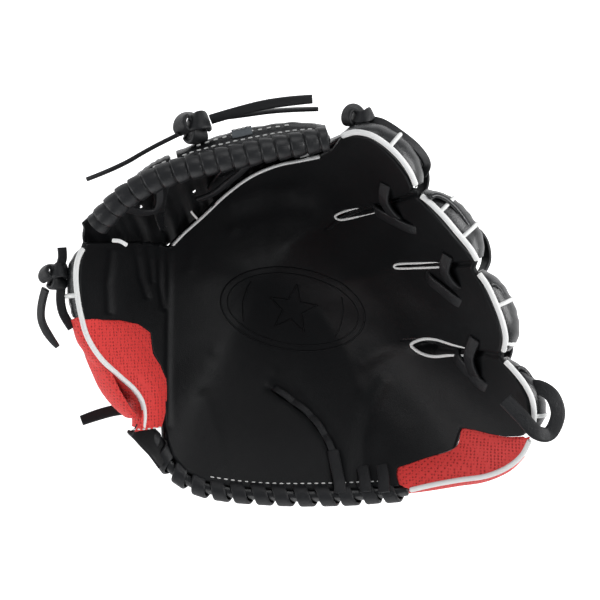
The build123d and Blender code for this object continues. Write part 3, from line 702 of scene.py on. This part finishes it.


# ---- web rail --------------------------------------------------------
# The top of the web: a leather core lashed round and round with one flat strip, each turn
# lapping the one before. It folds at its middle on the glove; here it is one rigid piece.
RAIL = [(-100, 36.2, 109.4), (-94, 42, 112.5), (-85, 50, 116), (-73, 57, 119), (-59, 62.5, 120.5), (-44, 66.3, 121),
        (-30, 69.5, 121), (-17, 72.3, 120.5), (-4, 74.8, 119.5), (6, 76.8, 118.5), (14.5, 78.4, 118)]
rail = along(RAIL, 420)
rail_run = run_length(rail)
t = direction(rail)
side = unit(np.cross(t, np.array([0.0, 0.0, 1.0])))
up = np.cross(side, t)
ang = np.linspace(0, FULL, 49)[:-1]
turn = (rail_run[:, None] / 7.2 + 0.42 * np.cos(ang)[None] * 0.35 + ang[None] / FULL) % 1.0
lap = 0.95 * (1 - turn) ** 0.8 - 0.95 * np.exp(-(turn / 0.055) ** 2) - 0.7 * np.exp(-((1 - turn) / 0.04) ** 2)
radius = 5.35 + lap + 0.25 * np.sin(turn * math.pi)
shrink = np.clip(np.minimum(np.arange(420), 419 - np.arange(420)) / 6.0, 0.25, 1)[:, None]
skin = rail[:, None] + (radius * shrink)[..., None] * (np.cos(ang)[None, :, None] * side[:, None]
                                                       + np.sin(ang)[None, :, None] * up[:, None])
LASHING = leather("rail_lashing_strip", (0.008, 0.0085, 0.0092), (0.017, 0.0175, 0.0188), 0.34, 1300, 0.22,
                  180, 0.25, 0.45)
verts, faces = loft([place(r) for r in skin])
web_rail = add_mesh("web_rail_lashing", verts, faces, LASHING)
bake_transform(web_rail)
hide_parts("rail_core_thumb", "rail_wrap_thumb", "rail_core_finger", "rail_wrap_finger")


# ---- web posts, panels and lacing ------------------------------------
# Under the rail the web is made of leather posts and panels joined by rawhide. They sit in
# two groups, one each side of the line where the web folds.
def strap(name, path, flat_normal, width, thick, body, material, slot, *nodes, n=70):
    """A flat strap through points in mm; width is a number or a list spaced along it."""
    line = place(along(path, n))
    t = direction(line)
    nrm = along(flat_normal, n) if np.ndim(flat_normal) == 2 else np.asarray(flat_normal, float)
    nrm = unit(nrm - (nrm * t).sum(1)[:, None] * t)
    side = np.cross(t, nrm)
    width = np.atleast_1d(width)
    w = np.interp(np.linspace(0, 1, n), np.linspace(0, 1, len(width)), width) * 0.001
    ang = np.linspace(0, FULL, 25)[:-1]
    cx = np.sign(np.cos(ang)) * np.abs(np.cos(ang)) ** 0.35
    cy = np.sign(np.sin(ang)) * np.abs(np.sin(ang)) ** 0.7
    rings = [p + np.outer(cx, s) * wi / 2 + np.outer(cy, m) * thick * 0.0005
             for p, s, m, wi in zip(line, side, nrm, w)]
    verts, faces = loft(rings)
    ob = add_mesh(name, verts, faces, material, body)
    if nodes:
        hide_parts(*nodes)
    return ob


def on_web(xy, depth):
    q = along([(x, y, 0) for x, y in xy], 12)
    return on_pocket(q[:, 0], q[:, 1], depth), -pocket_normal(q[:, 0], q[:, 1])


for name, xy, depth, width, body, node in (
        ("web_thumb_post_cover", [(-69.8, 35.5), (-70.5, 43), (-69, 50), (-67.5, 54.5)], 2.5, (3.5, 7, 8),
         "web_thumb_half", "web_thumb_post"),
        ("web_finger_panel_cover", [(-44, 53), (-34, 61.5), (-22, 68.5), (-10, 73), (0, 75.5)], 3.5,
         (5, 12, 17, 18, 14), "web_finger_half", "web_finger_panel")):
    path, out_dir = on_web(xy, depth)
    strap(name, path, out_dir, width, 2.4, body, BACK_LEATHER, "black_leather", node)

# The web leather itself hangs from the rail to the crotch in soft folds.
high = along([(-102, 34, 0), (-93, 42.5, 0), (-84, 50.2, 0), (-72, 56.8, 0), (-59, 62, 0), (-44, 65.6, 0),
              (-30, 68.8, 0), (-17, 71.6, 0), (-4, 74.2, 0), (6, 76, 0)], 150)[:, :2]
low = along([(-101, 26.0, 0), (-93, 25.5, 0), (-84, 25.2, 0), (-74, 25.0, 0), (-63, 26.0, 0), (-55.2, 31.2, 0),
             (-46.2, 38.4, 0),
             (-35.8, 47.2, 0), (-24.4, 55.3, 0), (-12.7, 60.4, 0), (-1.6, 63.2, 0)], 150)[:, :2]
v = np.linspace(0, 1, 50)[None, :, None]
xy = low[:, None] * (1 - v) + high[:, None] * v
across = np.arange(150)[:, None] / 149.0
folds = 1.1 * np.sin(across * 62 + 3.0 * v[..., 0]) * (1 - 0.6 * v[..., 0]) * np.exp(-((across - 0.38) / 0.25) ** 2)
folds = folds + 0.6 * np.sin(across * 118 + 5 * v[..., 0] ** 2) * (1 - v[..., 0])
sheet_depth = 6.0 + folds - 1.0 * v[..., 0]
web_points = place(on_pocket(xy[..., 0], xy[..., 1], sheet_depth).reshape(-1, 3))
web_faces = []
LACE_HOLES, HOLE_AREA = np.array([(-76.9, 42.6), (-67.5, 33.0), (-52.5, 49.5)]), 1.3
for f in grid_faces(150, 50):
    if ((xy.reshape(-1, 2)[list(f)].mean(0) - LACE_HOLES) ** 2).sum(1).min() > HOLE_AREA:
        web_faces.append(f)
web_sheet = add_mesh("web_leather_sheet", web_points, web_faces, PALM_LEATHER)
if web_sheet.data.polygons[0].normal.z < 0:
    web_sheet.data.flip_normals()
thicken(web_sheet, 2.0)
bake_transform(web_sheet)
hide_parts("web_thumb_panel", "web_finger_post")


def lace(name, points, body, normals, *nodes, width=5.0, thick=2.0, n=120):
    return strap(name, points, normals, width, thick, body, RAWHIDE, "black_lace", *nodes, n=n)


def pocket_path(marks):
    """Route points given as (x, y, depth) on the pocket, and the way the lace's flat face looks there."""
    q = np.asarray(marks, float)
    return on_pocket(q[:, 0], q[:, 1], q[:, 2]), pocket_normal(q[:, 0], q[:, 1])


path, face = pocket_path([(-88, 46.5, -1.6), (-80, 45.5, -2.2), (-74.5, 46.5, -2.4), (-71, 50, -1.6), (-69.5, 53, 2.5),
                          (-72, 53, 8), (-78, 50.5, 8.5), (-84, 48.5, 8)])
lace("web_thumb_lacing", path, "web_thumb_half", face, "web_lace_thumb", width=4.2)
path, face = pocket_path([(-52, 52, -1.4), (-44, 56, -2.4), (-36, 61, -1.8), (-28, 66, -1.0), (-22, 70, 2.4),
                          (-24, 71, 8.2),
                          (-34, 66, 9), (-44, 60, 8.5)])
lace("web_finger_lacing", path, "web_finger_half", face, "web_lace_finger", width=4.2)
thumb_roll = rolled_side("web_back_roll_thumb",
                         [(-86, 54, 109), (-80, 58.5, 110), (-74, 62, 111), (-68, 64.6, 112), (-63, 66.4, 112.5)],
                         (1.5, 3, 4, 5, 5.5), 17, BACK_LEATHER, "web_thumb_half", "black_leather")
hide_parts("web_back_thumb")
finger_roll = rolled_side("web_back_roll_finger",
                          [(-59.5, 67.6, 112.5), (-45, 71.4, 113.4), (-30, 74.4, 113.6), (-15, 77.4, 113.2),
                           (0, 80.2, 112.4), (13, 82.6, 111.6)],
                          (6, 7.5, 9, 9, 8, 4), 18, BACK_LEATHER, "web_finger_half", "black_leather")
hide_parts("web_back_finger")


# ---- stitching and the grey tab --------------------------------------
# Rows of white waxed thread, each stitch a short round bar sunk at both ends, along the back
# of the web, round the grey woven tab and where the mesh panels meet the heel.
THREAD = leather("white_waxed_thread", (0.70, 0.70, 0.68), (0.86, 0.86, 0.84), 0.5, 1500, 0.1, 400, 0.1, 0.3)
GREY_TAPE = leather("grey_woven_tape", (0.10, 0.115, 0.125), (0.19, 0.205, 0.215), 0.7, 1400, 0.6, 900, 0.4, 0.2)


def stitches(name, line, count, body, length=2.2, radius=0.42):
    """A row of separate stitches along a line of points in mm, joined as one object."""
    p = along(line, 400)
    run = run_length(p)
    verts, faces_all = [], []
    for c in np.linspace(length, run[-1] - length, count):
        q = np.stack([np.interp(c + np.linspace(-0.5, 0.5, 6) * length, run, p[:, k]) for k in range(3)], 1)
        rr = radius * np.array([0.5, 0.95, 1, 1, 0.95, 0.5])
        v, f = loft(place(round_rings(q, rr, (0.1, 0.2, 0.97), 8)))
        faces_all += [tuple(i + len(verts) for i in face) for face in f]
        verts += [tuple(x) for x in v]
    ob = add_mesh(name, verts, faces_all, THREAD, body)
    return ob


stitches("web_back_stitches", finger_roll[3:84:3, 7] + (0, 0, 0.35), 18, "web_finger_half")
stitches("web_back_stitches_outer", finger_roll[12:70:3, 12] + (0, 0.1, 0.35), 11, "web_finger_half")
stitches("web_thumb_stitches", thumb_roll[10:86:3, 7] + (0, 0, 0.35), 5, "web_thumb_half")
tab = finger_roll[34:48:3, 12]
strap("web_grey_tab", tab + (0, 0.4, 0.9), (-0.2, 0.45, 0.9), 5.0, 1.2, "web_finger_half", GREY_TAPE,
      "black_leather", n=30)
stitches("web_tab_stitches", tab + (-0.4, 2.4, 1.0), 4, "web_finger_half", 1.6)
bead("web_branch_bead", on_plan([(-51.8, 39.8), (-53.8, 42.0), (-55.6, 44.0)], [1.6, 1.4, 2.2]), 0.6,
     "web_finger_half", n=30)
stitches("thumb_heel_stitches", on_plan([(-86, -65.6), (-80, -66.2), (-72, -66.0)], -0.6), 6, "palm")
HEEL_SEAM = [(-48, -92.4), (-30, -95.2), (-12, -96.3), (8, -96.3), (26, -95.8), (47, -94.6)]
stitches("heel_stitches", on_plan(HEEL_SEAM, -0.5), 26, "palm", 2.0, 0.36)


# ---- knots -----------------------------------------------------------
# Overhand knots pulled tight in the flat lace, at the web, the thumb tip and the index tip.
def knot(name, centre, size, tilt, body, node, width=6.5):
    a = np.linspace(0.35, FULL - 0.35, 60)
    x = size * (np.sin(a) + 2 * np.sin(2 * a))
    y = size * (np.cos(a) - 2 * np.cos(2 * a))
    z = -1.35 * size * np.sin(3 * a)
    y, z = y * math.cos(tilt) - z * math.sin(tilt), y * math.sin(tilt) + z * math.cos(tilt)
    pts = np.stack([x, y, z], 1)
    facing = unit(pts) + np.array([0, 0, 0.35])
    lace(name, pts + np.array(centre), body, facing, node, width=width, thick=2.4, n=200)


knot("web_knot_lace", (-52, 84.5, 111), 2.45, 0.5, "web_finger_half", "web_knot", 10.0)
knot("thumb_knot_lace", (-121.5, 12, 98), 2.0, 0.3, "thumb", "thumb_knot", 8.5)
lace("thumb_knot_stub", [(-119, 16, 99), (-117.6, 21, 100), (-117.8, 26, 100.5)], "thumb", (0.3, 0, 1), width=4.6, n=30)
lace("thumb_inner_strand", [(-118.5, 8, 97), (-119.2, 0, 95), (-118, -7, 93), (-114, -14, 91)], "thumb", (0.3, 0, 1),
     width=4.6, n=50)
knot("index_knot_lace", (28.5, 88.5, 113), 2.2, 0.9, "palm", "index_knot", 6.4)
lace("index_tip_lace", [(34, 87.5, 114), (40, 86, 116), (48, 81, 116), (57, 74, 113), (62, 67, 108), (60, 61.5, 104)],
     "palm", (0.2, 0.3, 1), "index_lace", width=4.6)


# ---- finger lacing ---------------------------------------------------
# A rawhide loop between each two fingers: across the slit in front, through both stalls
# and back round behind the tips.
for name, node, a, b in (("index_middle_lacing", "lace_index_middle", (40, 60), (49, 43)),
                         ("middle_ring_lacing", "lace_middle_ring", (71, 25), (79, 8)),
                         ("ring_pinky_lacing", "lace_ring_pinky", (86, -17), (91, -38))):
    a, b = np.array(a, float), np.array(b, float)
    m = (a + b) / 2
    u = (b - a) / np.linalg.norm(b - a)
    marks = [(*(a + (3, -2)), -1.2), (*m, -4.0), (*b, -2.0), (*(b + 3 * u), 4), (*(b + 2 * u), 14), (*(b - 2 * u), 22),
             (*m, 25), (*(a + 2 * u), 22), (*(a - 2 * u), 14), (*(a - 3 * u), 4)]
    path, face = pocket_path(marks)
    lace(name, path, "palm", face, node, width=6.6, thick=2.2, n=150)
for name, marks in (
        ("index_middle_strap", [(36, 47.5, 3), (40, 45.8, -1.6), (48, 41.6, -2.4), (57, 36.6, -1.8), (61.5, 34, 3)]),
        ("middle_ring_strap", [(63, 14.5, 3), (67, 11.5, -1.6), (74, 6, -2.4), (80.5, 0, -1.8), (84, -4, 3)]),
        ("ring_pinky_strap", [(79, -26, 3), (82, -29.5, -1.6), (88, -36, -2.4), (94.5, -43, -1.8), (98, -46, 3)])):
    path, face = pocket_path(marks)
    lace(name, path, "palm", face, width=6.6, thick=2.0, n=70)
strap_points = [(112, -44, 90), (119, -43.5, 95), (125.5, -48, 97), (128, -57, 97.5), (124, -66, 98),
                (117, -65.5, 100.5), (110, -58, 99.5), (102, -49.5, 96)]
lace("pinky_tip_lace", strap_points, "palm", (0.1, 0.1, 1), "pinky_loop_lace", width=7.4, thick=2.2)
q = along([(-14, -47, 0), (-4, -54, 0), (6, -62, 0), (14, -73, 0), (18.5, -84, 0), (20.5, -95, 0)], 60)
stitch_wave = 0.2 - 1.1 * np.abs(np.sin(np.linspace(0, 5 * math.pi, 60)))
lace("palm_crease_lace", on_pocket(q[:, 0], q[:, 1], stitch_wave), "palm", pocket_normal(q[:, 0], q[:, 1]), "palm_lace",
     width=3.6, thick=1.5)
for name, line in (("heel_cross_strap_a", [(17.5, -80, -1.0), (19, -88, -1.6), (20.6, -96, -2.2), (21, -101.5, -1.6)]),
                   ("heel_cross_strap_b", [(33, -88, -0.6), (34, -94, -1.6), (34.5, -101, -2.0)]),
                   ("heel_cross_strap_c", [(43, -87, -0.6), (44, -93, -1.6), (44, -101, -2.0)])):
    path, face = pocket_path(line)
    lace(name, path, "palm", face, width=6.2, thick=1.8, n=50)


# ---- heel edge -------------------------------------------------------
# The palm and lining are rolled together at the heel and whip-stitched with one flat lace.
# A short gusset of palm leather fills the corner under the thumb's red panel.
HEEL = [(-85, -66, 52), (-80, -71, 51), (-74, -77.5, 49.5), (-66, -88, 49), (-53, -96.5, 47.5),
        (-38, -100, 46.5), (-20, -101.6, 46.5), (0, -102.4, 46.5), (25, -102, 46.5), (41, -100.8, 46.5),
        (50, -100.2, 47), (57, -99, 47.5)]
bead("heel_rolled_edge", HEEL, 3.4, "palm", BACK_LEATHER, "heel_roll", n=200)
axis_line = along(HEEL, 1201)
t = direction(axis_line)
up = unit(np.array([0.0, 0.0, 1.0]) - t[:, 2:] * t)
right = np.cross(t, up)
ph = 2 * math.pi * 14 * np.arange(1201) / 1200.0
path, face = pocket_path([(-80, -64.5, 4.6), (-76, -70, 4.6), (-71.5, -75.5, 4.6), (-67, -82, 4.6)])
strap("thumb_heel_gusset", path, face, 14, 2.0, "palm", PALM_LEATHER, "black_leather")
wrap = axis_line + 5.0 * (up * np.cos(ph)[:, None] + right * np.sin(ph)[:, None])
facing = up * np.cos(ph)[:, None] + right * np.sin(ph)[:, None]
lace("heel_whip_stitch", wrap[12:-12:2], "palm", facing[12:-12:2], "heel_lace", width=7.2, thick=2.0, n=590)


# ---- wrist strap -----------------------------------------------------
# A wide padded band across the back of the hand, lined with soft leather.
STRAP = [(-72, -67, 42), (-61, -74, 17), (-36, -80, 1), (-4, -82, -4), (24, -83, -1), (46, -84, 12), (58, -88, 38)]
OUTWARD = [(-0.85, -0.2, -0.5), (-0.6, -0.3, -0.75), (-0.3, -0.3, -0.9), (0, -0.3, -0.95), (0.3, -0.3, -0.9),
           (0.6, -0.3, -0.75), (0.85, -0.2, -0.5)]
strap("wrist_strap_band", STRAP, OUTWARD, (20, 25, 26, 25, 18), 2.6, "palm", BACK_LEATHER, "black_leather",
      "wrist_strap")
sp, so = along(STRAP, 15), along(OUTWARD, 15)
LINING = leather("soft_black_lining", (0.012, 0.012, 0.013), (0.022, 0.022, 0.024), 0.6, 700, 0.15, 90, 0.2, 0.4)
strap("wrist_strap_lining", sp - 3.2 * unit(so), so, (18, 22, 23, 22, 16), 2.0, "palm", LINING, "lining",
      "wrist_lining")


# ---- palm emblem -----------------------------------------------------
# A plain raised oval with a five-pointed star and two seam arcs, pressed into the leather.
def raised_line(name, xy, radius):
    q = np.asarray(xy, float)
    p = on_pocket(q[:, 0], q[:, 1], palm_relief(q[:, 0], q[:, 1]) + 0.05)
    return bead(name, p, radius, "palm", PALM_LEATHER, n=max(60, 6 * len(q)))


def emblem_xy(a, b, ang):
    c, s = math.cos(-0.17), math.sin(-0.17)
    x, y = a * np.cos(ang), b * np.sin(ang)
    return np.stack([-4 + x * c - y * s, -5 + x * s + y * c], 1)


ring_angles = np.linspace(0, FULL, 73)
outer_oval = raised_line("emblem_outer_oval", emblem_xy(39, 22, ring_angles), 0.55)
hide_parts("palm_emblem")
raised_line("emblem_inner_oval", emblem_xy(35.5, 18.8, ring_angles), 0.4)
star = []
for k in range(11):
    r = 13.5 if k % 2 == 0 else 5.6
    star.append(emblem_xy(r, r, np.array([math.pi / 2 + k * math.pi / 5]))[0])
fine_star = np.concatenate([np.linspace(p, q, 6)[:-1] for p, q in zip(star[:-1], star[1:])] + [[star[-1]]])
raised_line("emblem_star", fine_star, 0.5)
for hand, facing_angle in (("left", math.pi), ("right", 0)):
    raised_line(f"emblem_arc_{hand}", emblem_xy(27, 27, np.linspace(-0.42, 0.42, 20) + facing_angle), 0.45)

# ---- hidden layers ---------------------------------------------------
# The felt heel pad and the linings keep their moulded shape. hand_back is a flat plate that
# the glove stands on, a guess with nothing joined to it; all are seen only from the back.
FELT = leather("grey_wool_felt", (0.16, 0.155, 0.145), (0.24, 0.23, 0.22), 0.85, 500, 0.5, 500, 0.5, 0.2)
for node, material in (("palm_pad", FELT), ("palm_lining", LINING), ("index_liner", LINING), ("middle_liner", LINING),
                       ("ring_liner", LINING), ("pinky_liner", LINING), ("thumb_liner", LINING),
                       ("hand_back", BACK_LEATHER)):
    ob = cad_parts[node]
    ob.data.materials.clear()
    ob.data.materials.append(material)
